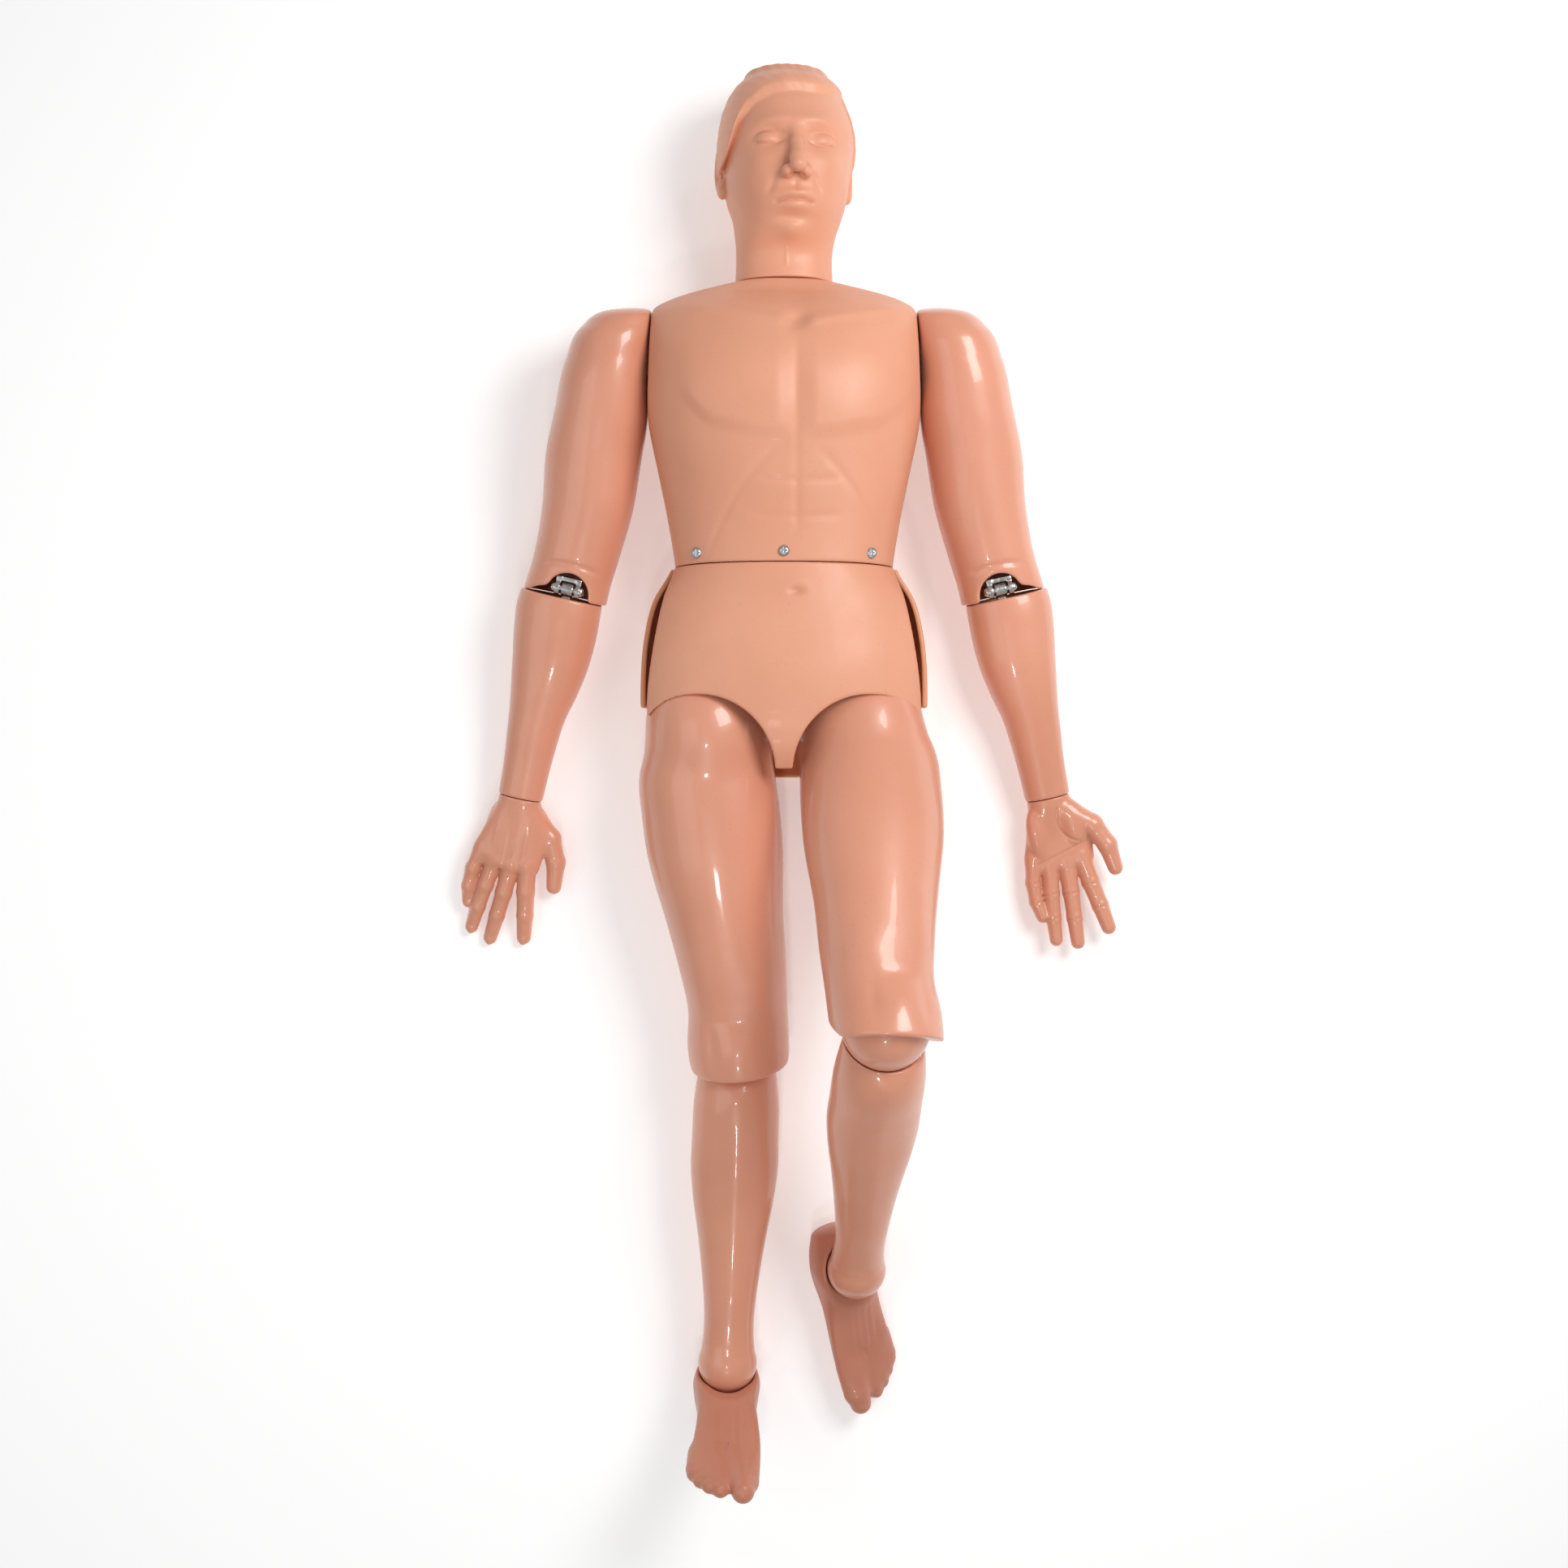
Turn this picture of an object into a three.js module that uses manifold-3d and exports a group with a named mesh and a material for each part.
// Full-size jointed training mannequin lying on its back, left knee raised.
// Hollow moulded shells hang on a steel frame. +X is the figure's left, +Y its head, +Z its front.
// Design units are millimetres of a 1674 mm figure, scaled once to the real stature.
import * as THREE from 'three';
import { mergeVertices } from 'three/addons/utils/BufferGeometryUtils.js';
import Module from 'manifold-3d';

const STATURE = 1740;
const DESIGN_STATURE = 1674;
const ORIGIN_SHIFT = { x: -9.48, y: 47.96, z: -0.554 };
const DEG = Math.PI / 180;
const WALL = 5;
const GAP = 0.4;
const FAR = 900;

// Trunk: planes and heights along Y, half width of the shoulder plane along X.
const NECK_SEAM_Y = 544;
const WAIST_Y = 196;
const SPLIT_Z = 104;
const SCREW = { xs: [-104, 0, 104], y: WAIST_Y + 12, head: 6, shank: 3 };
const SHOULDER = { x: 163, y: 447, z: 108, tilt: 2.9 * DEG };
// The elbow axis lies a little above the forearm's flat top, near the front of the arm.
const ELBOW = { x: 89, front: 32, seamDrop: 11, turn: 10 * DEG, pin: 3.6 };
const WRIST = { x: 7, pin: 6 };
const HIP = { x: 94, y: 0, z: 100, radius: 90, halfWidth: 76 };

// Limb lengths between joint axes, and the diameters of the steel inside.
const UPPER_ARM = 278;
const FOREARM = 269;
const THIGH = 392;
const SHIN = 400;
const SHIN_YAW = 7.5 * DEG;
// Slope and drop below the knee axis of the seam's two planes, behind and in front, and its width.
const KNEE_PLANES = [[0.85, 10], [0.27, 21]];
const KNEE_SEAM = 3;
const KNEE_BALL = 52;
const ANKLE_BALL = 37;
const ROD = 9;

// Joint angles of the lying figure in degrees; yaw is outward for each side.
const POSE = {
  right: { arm: 7, hipYaw: -5.5, hipTurn: 0, hip: -2.3, knee: 0, ankle: 13, ankleYaw: -3, wrist: 180 },
  left: { arm: 7, hipYaw: -4.4, hipTurn: 13.5, hip: 31, knee: 63.85, ankle: 52.35, ankleYaw: 22, wrist: 0 },
};

const wasm = await Module();
wasm.setup();

const skin = new THREE.MeshStandardMaterial({ color: 0xe8a585, roughness: 0.4, metalness: 0 });
const shellInside = new THREE.MeshStandardMaterial({ color: 0xd98a66, roughness: 0.5, metalness: 0 });
const steel = new THREE.MeshStandardMaterial({ color: 0xb8bcc0, roughness: 0.3, metalness: 1 });
const zinc = new THREE.MeshStandardMaterial({ color: 0x9aa0a4, roughness: 0.45, metalness: 1 });

// --- solids -----------------------------------------------------------------------------------

function solidOf(geometry) {
  const bare = geometry.clone();
  bare.deleteAttribute('normal');
  bare.deleteAttribute('uv');
  const merged = mergeVertices(bare, 1e-4);
  return new wasm.Manifold(new wasm.Mesh({
    numProp: 3,
    vertProperties: new Float32Array(merged.attributes.position.array),
    triVerts: new Uint32Array(merged.index.array),
  }));
}

function geometryOf(solid) {
  const mesh = solid.getMesh();
  const geometry = new THREE.BufferGeometry();
  geometry.setAttribute('position', new THREE.BufferAttribute(mesh.vertProperties, 3));
  geometry.setIndex(new THREE.BufferAttribute(mesh.triVerts, 1));
  geometry.computeVertexNormals();
  return geometry;
}

function cut(geometry, ...tools) {
  return geometryOf(tools.reduce((solid, tool) => solid.subtract(solidOf(tool)), solidOf(geometry)));
}

function join(geometry, ...others) {
  return geometryOf(others.reduce((solid, other) => solid.add(solidOf(other)), solidOf(geometry)));
}

function common(geometry, other) {
  return geometryOf(solidOf(geometry).intersect(solidOf(other)));
}

// A limb or trunk section: superellipse of half width w, front and back depths, centre (x, z).
function sectionPoint(station, angle) {
  const power = 2 / station.n;
  const c = Math.cos(angle);
  const s = Math.sin(angle);
  const depth = s > 0 ? station.front : station.back;
  return [
    station.x + station.w * Math.sign(c) * Math.abs(c) ** power,
    station.z + depth * Math.sign(s) * Math.abs(s) ** power,
  ];
}

// Closed loft through sections stacked along Y, highest first, with flat ends. A phase of half a
// step turns a facet, rather than an edge, towards the front and the back.
function loft(stations, around = 20, phase = 0) {
  const positions = [];
  const index = [];
  for (const station of stations) {
    for (let k = 0; k < around; k += 1) {
      const [x, z] = sectionPoint(station, (2 * Math.PI * (k + phase)) / around);
      positions.push(x, station.y, z);
    }
  }
  const last = stations.length - 1;
  for (let ring = 0; ring < last; ring += 1) {
    for (let k = 0; k < around; k += 1) {
      const next = (k + 1) % around;
      const a = ring * around + k;
      const b = ring * around + next;
      index.push(a, b, b + around, a, b + around, a + around);
    }
  }
  for (const [ring, flip] of [[0, false], [last, true]]) {
    const centre = positions.length / 3;
    positions.push(stations[ring].x, stations[ring].y, stations[ring].z);
    for (let k = 0; k < around; k += 1) {
      const a = ring * around + k;
      const b = ring * around + ((k + 1) % around);
      index.push(centre, flip ? a : b, flip ? b : a);
    }
  }
  const geometry = new THREE.BufferGeometry();
  geometry.setAttribute('position', new THREE.Float32BufferAttribute(positions, 3));
  geometry.setIndex(index);
  return geometry;
}

// Rows of [y, x, z, half width, front depth, back depth] become sections of one roundness.
function stationsOf(rows, n = 2.2) {
  return rows.map(([y, x, z, w, front, back]) => ({ y, x, z, w, front, back, n }));
}

function shrink(stations, wall) {
  return stations.map((s) => ({ ...s, w: s.w - wall, front: s.front - wall, back: s.back - wall }));
}

function box(x0, x1, y0, y1, z0, z1) {
  const geometry = new THREE.BoxGeometry(x1 - x0, y1 - y0, z1 - z0);
  return geometry.translate((x0 + x1) / 2, (y0 + y1) / 2, (z0 + z1) / 2);
}

function ball(rx, ry, rz, x = 0, y = 0, z = 0, around = 20) {
  const geometry = new THREE.SphereGeometry(1, around, Math.round(around * 0.6));
  return geometry.scale(rx, ry, rz).translate(x, y, z);
}

// Cylinder along an axis, centred on a point.
function rod(axis, radius, length, x = 0, y = 0, z = 0, sides = 16) {
  const geometry = new THREE.CylinderGeometry(radius, radius, length, sides);
  if (axis === 'x') geometry.rotateZ(Math.PI / 2);
  if (axis === 'z') geometry.rotateX(Math.PI / 2);
  return geometry.translate(x, y, z);
}

// Half space above a plane through (y, z), as a big box turned about X.
function halfSpace(y, z, slope) {
  const geometry = new THREE.BoxGeometry(FAR, FAR, FAR);
  return geometry.translate(0, FAR / 2, 0).rotateX(Math.atan(slope)).translate(0, y, z);
}

function mirrored(geometry) {
  const flipped = geometry.clone();
  flipped.scale(-1, 1, 1);
  const { array } = flipped.index;
  for (let k = 0; k < array.length; k += 3) {
    [array[k + 1], array[k + 2]] = [array[k + 2], array[k + 1]];
  }
  flipped.computeVertexNormals();
  return flipped;
}

function place(parent, name, geometry, material) {
  const mesh = new THREE.Mesh(geometry, material);
  mesh.name = name;
  parent.add(mesh);
  return mesh;
}

// --- trunk ------------------------------------------------------------------------------------

const chestStations = stationsOf([
  [NECK_SEAM_Y, 0, 100, 60, 56, 56],
  [538, 0, 102, 100, 72, 70],
  [528, 0, 104, 152, 88, 84],
  [505, 0, 106, 172, 100, 96],
  [447, 0, 106, 172, 118, 105],
  [385, 0, 106, 168, 122, 106],
  [356, 0, 106, 163, 118, 104],
  [308, 0, 106, 153, 108, 98],
  [242, 0, 106, 140, 98, 84],
  [WAIST_Y, 0, 106, 133, 94, 78],
], 2.5);

const pelvisStations = stationsOf([
  [WAIST_Y - 1, 0, 104, 137, 96, 82],
  [158, 0, 103, 158, 98, 96],
  [110, 0, 102, 170, 100, 101],
  [60, 0, 102, 174, 100, 102],
  [20, 0, 102, 174, 96, 102],
  [-30, 0, 101, 172, 84, 98],
  [-60, 0, 100, 150, 66, 88],
], 2.3);

function shellOf(stations, wall, extra) {
  const inner = shrink(stations, wall);
  inner[0] = { ...inner[0], y: inner[0].y + extra.top };
  inner[inner.length - 1] = { ...inner[inner.length - 1], y: inner[inner.length - 1].y - extra.bottom };
  return cut(loft(stations, 28, 0.5), loft(inner, 22, 0.5));
}

function shoulderPlanes() {
  return [-1, 1].map((side) => {
    const geometry = new THREE.BoxGeometry(100, FAR, FAR);
    geometry.translate(50 + GAP, 0, 0).rotateZ(SHOULDER.tilt).translate(SHOULDER.x, SHOULDER.y, SHOULDER.z);
    return side > 0 ? geometry : mirrored(geometry);
  });
}

function buildTrunk(root) {
  const shell = cut(shellOf(chestStations, WALL, { top: -WALL, bottom: 2 }), ...shoulderPlanes());
  const neckHole = rod('y', 22, 60, 0, NECK_SEAM_Y, 102, 24);
  const seats = [-1, 1].map((side) => rod('x', 15, 40, side * SHOULDER.x, SHOULDER.y, SHOULDER.z));
  const screwHoles = SCREW.xs.map((x) => rod('z', SCREW.shank + GAP, 140, x, SCREW.y, 170, 10));
  const front = cut(shell, box(-FAR, FAR, -FAR, FAR, -FAR, SPLIT_Z + GAP), neckHole, ...seats, ...screwHoles);
  const back = cut(shell, box(-FAR, FAR, -FAR, FAR, SPLIT_Z, FAR), neckHole, ...seats);
  place(root, 'chest_shell', front, skin);
  place(root, 'back_shell', back, skin);
  buildPelvis(root);
  buildFrame(root);
}

function legOpenings(radius, x, y, z0, z1) {
  return [-1, 1].map((side) => rod('z', radius, z1 - z0, side * x, y, (z0 + z1) / 2, 40));
}

function buildPelvis(root) {
  const shell = shellOf(pelvisStations, WALL, { top: 2, bottom: 2 });
  const sockets = [-1, 1].map((side) => hipBall(5).translate(side * HIP.x, HIP.y, HIP.z));
  const frontCut = box(-FAR, FAR, -FAR, FAR, -FAR, SPLIT_Z + 14);
  const frontTrim = box(-FAR, FAR, -FAR, -49, -FAR, FAR);
  const panelSides = [-1, 1].map((side) => panelTrim(side));
  const panel = cut(
    shell, frontCut, frontTrim, ...panelSides, ...sockets, ...legOpenings(91, 102, -52, SPLIT_Z, FAR),
  );
  place(root, 'abdomen_panel', panel, skin);
  const backCut = box(-FAR, FAR, -FAR, FAR, SPLIT_Z + 12, FAR);
  const sideTrims = [-1, 1].map((side) => {
    const geometry = box(128, FAR, -FAR, 26, 34, FAR);
    return side > 0 ? geometry : mirrored(geometry);
  });
  const openings = legOpenings(88, 104, -96, -FAR, SPLIT_Z + 20);
  const rear = cut(shell, backCut, ...sockets, ...sideTrims, ...openings);
  place(root, 'pelvis_rear_shell', rear, shellInside);
}

// Wedge that draws the side edge of the front panel in from the rear shell's rim.
function panelTrim(side) {
  const shape = new THREE.Shape();
  shape.moveTo(134, WAIST_Y + 20);
  shape.lineTo(134, WAIST_Y);
  shape.quadraticCurveTo(150, 128, 166, 40);
  shape.lineTo(166, -20);
  shape.lineTo(260, -20);
  shape.lineTo(260, WAIST_Y + 20);
  shape.closePath();
  const geometry = new THREE.ExtrudeGeometry(shape, { depth: 300, bevelEnabled: false, curveSegments: 6 });
  const indexed = mergeVertices(geometry.translate(0, 0, SPLIT_Z - 60));
  return side > 0 ? indexed : mirrored(indexed);
}

function hipBall(extra) {
  return ball(HIP.halfWidth + extra, HIP.radius + extra, HIP.radius + extra, 0, 0, 0, 22);
}

function buildFrame(root) {
  const spine = join(box(-12, 12, 12, NECK_SEAM_Y - 18, 70, 94), box(-11, 11, -14, 14, 70, 114));
  place(root, 'spine_post', spine, steel);
  for (const [index, x] of SCREW.xs.entries()) {
    place(root, `waist_screw_${index + 1}`, waistScrew(x), zinc);
  }
  const beamEnd = SHOULDER.x - 24;
  const beam = box(-beamEnd, beamEnd, SHOULDER.y - 14, SHOULDER.y + 14, 94 + GAP, 120);
  place(root, 'shoulder_beam', beam, steel);
  const cap = cut(rod('y', 21, 14, 0, NECK_SEAM_Y - 7.5, 102, 24), rod('y', 8, 40, 0, NECK_SEAM_Y, 102));
  place(root, 'neck_bearing_ring', cap, steel);
}

function waistScrew(x) {
  const surface = 106 + 95 * (1 - (Math.abs(x) / 135) ** 2.5) ** (1 / 2.5);
  const head = rod('z', SCREW.head, 3, x, SCREW.y, surface + 5.4 + Math.abs(x) * 0.02, 12);
  return join(head, rod('z', SCREW.shank, 32, x, SCREW.y, surface - 8, 8));
}

// --- head -------------------------------------------------------------------------------------

const headStations = stationsOf([
  [815, 4, 96, 30, 26, 30],
  [806, 3, 96, 55, 56, 54],
  [785, 2, 98, 74, 84, 78],
  [755, 1, 100, 82, 96, 90],
  [720, 2, 102, 82, 100, 92],
  [680, 3, 104, 77, 98, 84],
  [645, 3, 108, 68, 96, 64],
  [618, 3, 104, 60, 88, 52],
  [600, 0, 102, 59, 66, 50],
  [580, 0, 102, 59, 58, 52],
  [NECK_SEAM_Y + 0.8, 0, 102, 60, 57, 55],
]);

function buildHead(root) {
  const turn = new THREE.Group();
  turn.name = 'neck_turn';
  turn.position.set(0, NECK_SEAM_Y, 102);
  root.add(turn);
  const shift = new THREE.Group();
  shift.position.set(0, -NECK_SEAM_Y, -102);
  turn.add(shift);
  const socket = rod('y', 8, 60, 0, NECK_SEAM_Y + 10, 102);
  const hollow = loft(shrink(headStations.slice(1, 10), WALL + 1), 14);
  const nose = ball(11, 24, 22, 15, 672, 194, 12);
  const ears = [[79, 87], [-78, 109]].map(([x, z]) => ball(8, 29, 17, x, 682, z, 12));
  const hairLobe = ball(22, 15, 26, 54, 780, 132, 14);
  const head = join(loft(headStations, 22), nose, ...ears, hairLobe);
  place(shift, 'head_and_neck', cut(head, hollow, socket), skin);
  place(shift, 'neck_spigot', rod('y', 7.5, 46, 0, NECK_SEAM_Y + 14, 102), steel);
}

// --- arms -------------------------------------------------------------------------------------


const upperArmStations = stationsOf([
  [67, 22, 0, 22, 26, 26],
  [58, 30, 0, 38, 46, 46],
  [40, 40, 0, 48, 60, 60],
  [0, 51, 0, 54, 66, 64],
  [-60, 58, 0, 58, 62, 60],
  [-110, 66, -2, 59, 56, 56],
  [-180, 72, -3, 56, 52, 52],
  [-240, 84, -4, 53, 48, 48],
  [-UPPER_ARM, 94, -4, 53, 44, 46],
  [-UPPER_ARM - 24, 98, -4, 53, 44, 46],
]);

const forearmStations = stationsOf([
  [-8, 9, -4, 51, 43, 45],
  [-30, 9.5, -4, 52.5, 44, 46],
  [-58, 8, -4, 51.5, 43, 45],
  [-92, 6, -3, 47.5, 41, 42],
  [-130, 6.5, -2, 41.5, 37, 38],
  [-162, 8, -1, 35.5, 32, 32],
  [-192, 8, 0, 32.5, 28, 28],
  [-222, 7.5, 0, 30, 25, 25],
  [-FOREARM, WRIST.x, 0, 28, 22, 22],
]);

function elbowNotch() {
  const shape = new THREE.Shape();
  shape.moveTo(-25, -26);
  shape.lineTo(-25, -2);
  shape.quadraticCurveTo(-23, 20, 0, 20);
  shape.quadraticCurveTo(24, 20, 26, -8);
  shape.lineTo(26, -26);
  shape.closePath();
  const geometry = new THREE.ExtrudeGeometry(shape, { depth: 60, bevelEnabled: false, curveSegments: 6 });
  return geometry.translate(ELBOW.x, -UPPER_ARM, 2);
}

function buildArm(root, side) {
  const flip = (geometry) => (side.sign > 0 ? geometry : mirrored(geometry));
  const shoulder = new THREE.Group();
  shoulder.name = `${side.name}_shoulder`;
  shoulder.position.set(side.sign * SHOULDER.x, SHOULDER.y, SHOULDER.z);
  shoulder.rotation.z = side.sign * SHOULDER.tilt;
  root.add(shoulder);
  const arm = new THREE.Group();
  arm.rotation.x = POSE[side.name].arm * DEG;
  shoulder.add(arm);

  const bodySide = box(-FAR, 1.6, -FAR, FAR, -FAR, FAR);
  const armHollow = loft(shrink(upperArmStations.slice(3), WALL + 1), 10).translate(0, -1, 0);
  const belowElbow = box(-FAR, FAR, -FAR, -ELBOW.seamDrop, -FAR, FAR);
  belowElbow.rotateZ(ELBOW.turn).translate(ELBOW.x, -UPPER_ARM, 0);
  const upper = cut(
    loft(upperArmStations, 16), bodySide, armHollow, elbowNotch(), belowElbow, rod('x', 13, 60, 0, 0, 0),
  );
  place(arm, `${side.name}_upper_arm_shell`, flip(upper), skin);
  place(shoulder, `${side.name}_shoulder_axle`, flip(rod('x', 12, 46, 4, 0, 0)), steel);
  const humerus = rod('y', ROD, 200, 0, 0, 0).rotateZ(ELBOW.turn).translate(66, -140, -4);
  place(arm, `${side.name}_humerus_rod`, flip(humerus), steel);

  const elbow = new THREE.Group();
  elbow.name = `${side.name}_elbow`;
  elbow.position.set(side.sign * ELBOW.x, -UPPER_ARM, ELBOW.front);
  elbow.rotation.z = side.sign * ELBOW.turn;
  arm.add(elbow);
  const fork = join(box(-16, -9, -4, 14, -12, 4), box(9, 16, -4, 14, -12, 4), box(-16, 16, 8, 14, -12, 4));
  const forkHolder = new THREE.Group();
  forkHolder.position.copy(elbow.position);
  forkHolder.rotation.copy(elbow.rotation);
  arm.add(forkHolder);
  place(forkHolder, `${side.name}_elbow_fork`, fork, steel);
  place(forkHolder, `${side.name}_elbow_pin`, rod('x', ELBOW.pin, 17, 0, 0, 0, 12), zinc);

  const bare = loft(forearmStations, 16).translate(0, 0, -ELBOW.front);
  const hollow = loft(shrink(forearmStations, WALL + 1), 10).translate(0, 2, -ELBOW.front);
  const aboveSeam = box(-FAR, FAR, -ELBOW.seamDrop - 3 * GAP, FAR, -FAR, FAR);
  const wristHole = rod('y', WRIST.pin + 1, 30, WRIST.x, -FOREARM, -ELBOW.front, 12);
  const forearm = cut(bare, hollow, aboveSeam, wristHole);
  place(elbow, `${side.name}_forearm_shell`, flip(forearm), skin);
  const tongue = cut(
    join(box(-7, 7, -5.5, 5.5, -5.5, 5.5), box(-7, 7, -34, -4, -14, -1), box(-7, 7, -60, -22, -34, -13)),
    rod('x', ELBOW.pin + 0.6, 40, 0, 0, 0, 12),
  );
  place(elbow, `${side.name}_elbow_tongue`, tongue, steel);

  const wrist = new THREE.Group();
  wrist.name = `${side.name}_wrist`;
  wrist.position.set(side.sign * WRIST.x, -FOREARM, -ELBOW.front);
  elbow.add(wrist);
  const turn = new THREE.Group();
  turn.rotation.y = POSE[side.name].wrist * DEG;
  wrist.add(turn);
  place(turn, `${side.name}_hand`, flip(handGeometry()), skin);
  place(turn, `${side.name}_wrist_pin`, rod('y', WRIST.pin, 50, 0, 4, 0, 12), steel);
}

// Finger as a tapering round loft from its root to its tip.
function finger(root, tip, r0, r1) {
  const length = Math.hypot(tip[0] - root[0], tip[1] - root[1]);
  const rows = [
    [0, 0, 0, r0, r0, r0],
    [-length * 0.5, 0, 0, r0 * 0.95, r0 * 0.95, r0 * 0.9],
    [-length + r1, 0, 0, r1, r1, r1],
    [-length + r1 * 0.3, 0, 0, r1 * 0.72, r1 * 0.72, r1 * 0.72],
    [-length, 0, 0, r1 * 0.25, r1 * 0.25, r1 * 0.25],
  ];
  const angle = Math.atan2(tip[0] - root[0], root[1] - tip[1]);
  return loft(stationsOf(rows, 2), 8).rotateZ(angle).translate(root[0], root[1], root[2]);
}

function handGeometry() {
  const palm = loft(stationsOf([
    [-0.6, 0, 0, 27, 21, 21],
    [-20, 1, 0, 31, 20, 18],
    [-50, 4, 0, 40, 17, 15],
    [-80, 2, 0, 42, 14, 13],
    [-100, 0, 0, 37, 9, 9],
  ]), 16);
  const hand = join(
    palm,
    finger([-32, -76, 0], [-38, -146], 9, 6.5),
    finger([-13, -90, 0], [-25, -178], 9.5, 7),
    finger([7, -92, 0], [1, -188], 10, 7),
    finger([27, -86, 0], [39, -178], 9.5, 7),
    finger([26, -28, 2], [66, -110], 13, 8.5),
  );
  return cut(hand, rod('y', WRIST.pin + GAP, 60, 0, 0, 0, 12));
}

// --- legs -------------------------------------------------------------------------------------

const thighStations = stationsOf([
  [30, -6, 0, 56, 70, 74],
  [10, -4, 0, 66, 76, 80],
  [-44, 6, 0, 82, 80, 84],
  [-100, 6, 0, 85, 80, 83],
  [-147, 5, 0, 84, 78, 80],
  [-236, 1, 0, 72, 71, 72],
  [-296, -3, 0, 66, 65, 66],
  [-341, -4, 0, 62, 62, 63],
  [-THIGH, 0, 0, 63, 62, 62],
  [-425, 0, 2, 60, 59, 54],
  [-445, 0, 4, 52, 54, 44],
  [-456, 0, 6, 38, 44, 30],
]);

const shinStations = stationsOf([
  [-20, 0, -4, 46, 36, 34],
  [-45, 0, -3, 50, 46, 42],
  [-72, 0, -3, 53, 50, 49],
  [-119, 0, -5, 54, 47, 56],
  [-154, 0, -6, 54.5, 44, 59],
  [-193, 0, -5, 50.5, 41, 56],
  [-235, 0, -4, 43.5, 38, 48],
  [-281, 0, -3, 37, 35, 40],
  [-316, 0, -1, 33, 33, 35],
  [-351, 0, 0, 31, 31, 32],
  [-375, 0, 0, 32, 31, 31],
]);

const footStations = stationsOf([
  [0, 0, 0, 18, 14, 20],
  [-10, 0, 0, 27, 26, 22],
  [-42, 0, 0, 36, 38, 26],
  [-82, 0, 0, 36, 30, 30],
  [-122, 0, 0, 38, 18, 30],
  [-160, 2, 0, 42, 8, 28],
  [-190, 3, 0, 43, -2, 28],
  [-215, 3, 0, 42, -8, 28],
  [-236, 0, 0, 36, -14, 28],
  [-246, -3, 0, 26, -18, 27],
], 2.6);

function kneeCavity(extra) {
  return ball(KNEE_BALL - 1 + extra, KNEE_BALL + extra, KNEE_BALL + extra, 0, 0, 0, 16);
}

function buildLeg(root, side) {
  const pose = POSE[side.name];
  const flip = (geometry) => (side.sign > 0 ? geometry : mirrored(geometry));
  const hip = new THREE.Group();
  hip.name = `${side.name}_hip`;
  hip.position.set(side.sign * HIP.x, HIP.y, HIP.z);
  hip.rotation.set(0, side.sign * pose.hipTurn * DEG, side.sign * pose.hipYaw * DEG, 'ZYX');
  root.add(hip);
  const axle = rod('x', ROD - GAP, 44, -52, 0, 0);
  place(hip, `${side.name}_hip_axle`, flip(axle), steel);
  const swing = new THREE.Group();
  swing.rotation.x = -pose.hip * DEG;
  hip.add(swing);

  const knee = new THREE.Group();
  knee.name = `${side.name}_knee`;
  const belowKnee = KNEE_PLANES.map(([slope, drop]) => (
    halfSpace(0, 0, slope).rotateX(Math.PI).translate(0, -THIGH - drop, 0)
  ));
  const hollow = loft(shrink(thighStations.slice(2, 9), WALL + 2), 10);
  const thigh = cut(
    join(hipBall(0), loft(thighStations, 18)),
    hipBall(-8), hollow, kneeCavity(2).translate(0, -THIGH, 0), ...belowKnee, rod('x', ROD, 80, -62, 0, 0),
  );
  place(swing, `${side.name}_thigh_shell`, flip(thigh), skin);
  const femur = rod('y', ROD, THIGH - 172, 0, -THIGH / 2 + 4, 0);
  place(swing, `${side.name}_femur_rod`, femur, steel);

  knee.position.set(0, -THIGH, 0);
  swing.add(knee);
  const bend = new THREE.Group();
  bend.rotation.x = pose.knee * DEG;
  knee.add(bend);
  buildShin(bend, side, pose, flip);
}

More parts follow.
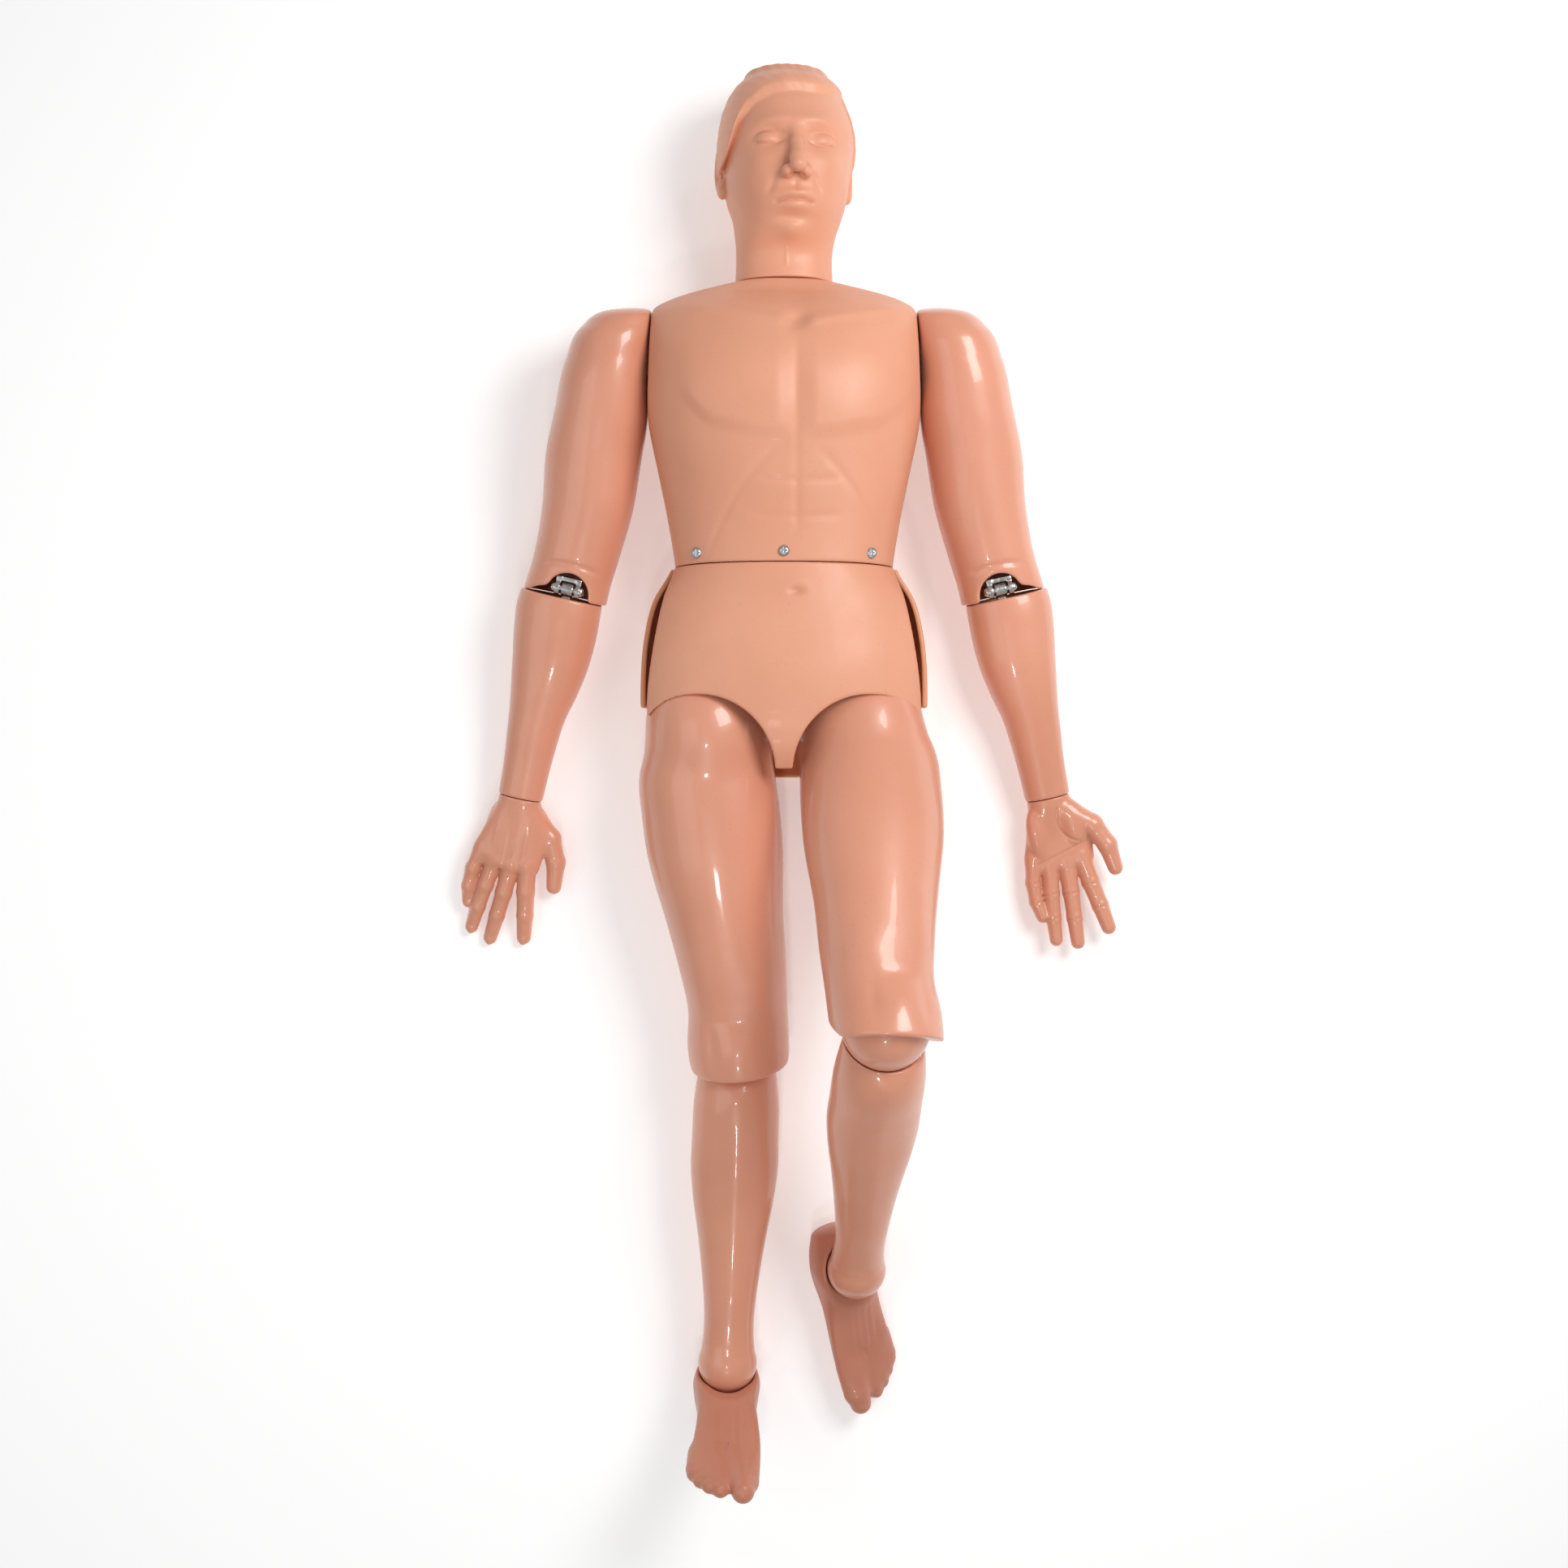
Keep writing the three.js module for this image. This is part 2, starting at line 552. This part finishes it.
function buildShin(bend, side, pose, flip) {
  const [rear, fore] = KNEE_PLANES.map(([slope, drop]) => (
    halfSpace(0, 0, slope).translate(0, -drop - KNEE_SEAM, 0)
  ));
  const collarCut = common(rear, fore);
  const end = ball(ANKLE_BALL, ANKLE_BALL, ANKLE_BALL, 0, -SHIN, 0, 16);
  const hollow = loft(shrink(shinStations.slice(1, 8), WALL + 1), 10).translate(0, 3, 0);
  const bare = cut(join(loft(shinStations, 16), end), hollow).rotateZ(SHIN_YAW);
  const shin = cut(bare, collarCut, kneeCavity(0.6));
  place(bend, `${side.name}_shin_shell`, flip(shin), skin);
  const knob = cut(kneeCavity(0), rod('x', 8, 140, 0, 0, 0));
  place(bend, `${side.name}_knee_ball`, knob, skin);
  place(bend, `${side.name}_knee_pin`, rod('x', 7.6, 98, 0, 0, 0), steel);
  const tibia = rod('y', ROD, 190, 0, -156, -4).rotateZ(SHIN_YAW);
  place(bend, `${side.name}_tibia_rod`, flip(tibia), steel);

  const ankle = new THREE.Group();
  ankle.name = `${side.name}_ankle`;
  ankle.position.set(side.sign * SHIN * Math.sin(SHIN_YAW), -SHIN * Math.cos(SHIN_YAW), 0);
  ankle.rotation.set(0, side.sign * pose.ankleYaw * DEG, side.sign * SHIN_YAW, 'ZYX');
  bend.add(ankle);
  const pitch = new THREE.Group();
  pitch.rotation.x = pose.ankle * DEG;
  ankle.add(pitch);
  place(pitch, `${side.name}_foot`, flip(footGeometry()), skin);
}

// The foot's sections stack from heel to toe, then turn so that the toes point to the front.
function footGeometry() {
  const sole = loft(footStations, 18).rotateX(-Math.PI / 2).translate(0, -42, -52);
  const collar = loft(stationsOf([
    [0, 0, 2, 39, 42, 40],
    [-24, 0, 2, 41, 47, 42],
    [-48, 0, 2, 38, 50, 40],
  ]), 18);
  const rim = halfSpace(-14, 0, 0.1);
  const socket = ball(ANKLE_BALL + 1, ANKLE_BALL + 1, ANKLE_BALL + 1, 0, 0, 0, 16);
  const frontGap = ball(33, 36, 40, 0, 2, 5, 16);
  return cut(join(sole, collar), rim, socket, frontGap);
}

const figure = new THREE.Group();
figure.name = 'mannequin';
figure.scale.setScalar(STATURE / DESIGN_STATURE);
figure.position.set(ORIGIN_SHIFT.x, ORIGIN_SHIFT.y, ORIGIN_SHIFT.z);
buildTrunk(figure);
buildHead(figure);
for (const side of [{ name: 'left', sign: 1 }, { name: 'right', sign: -1 }]) {
  buildArm(figure, side);
  buildLeg(figure, side);
}

export default figure;
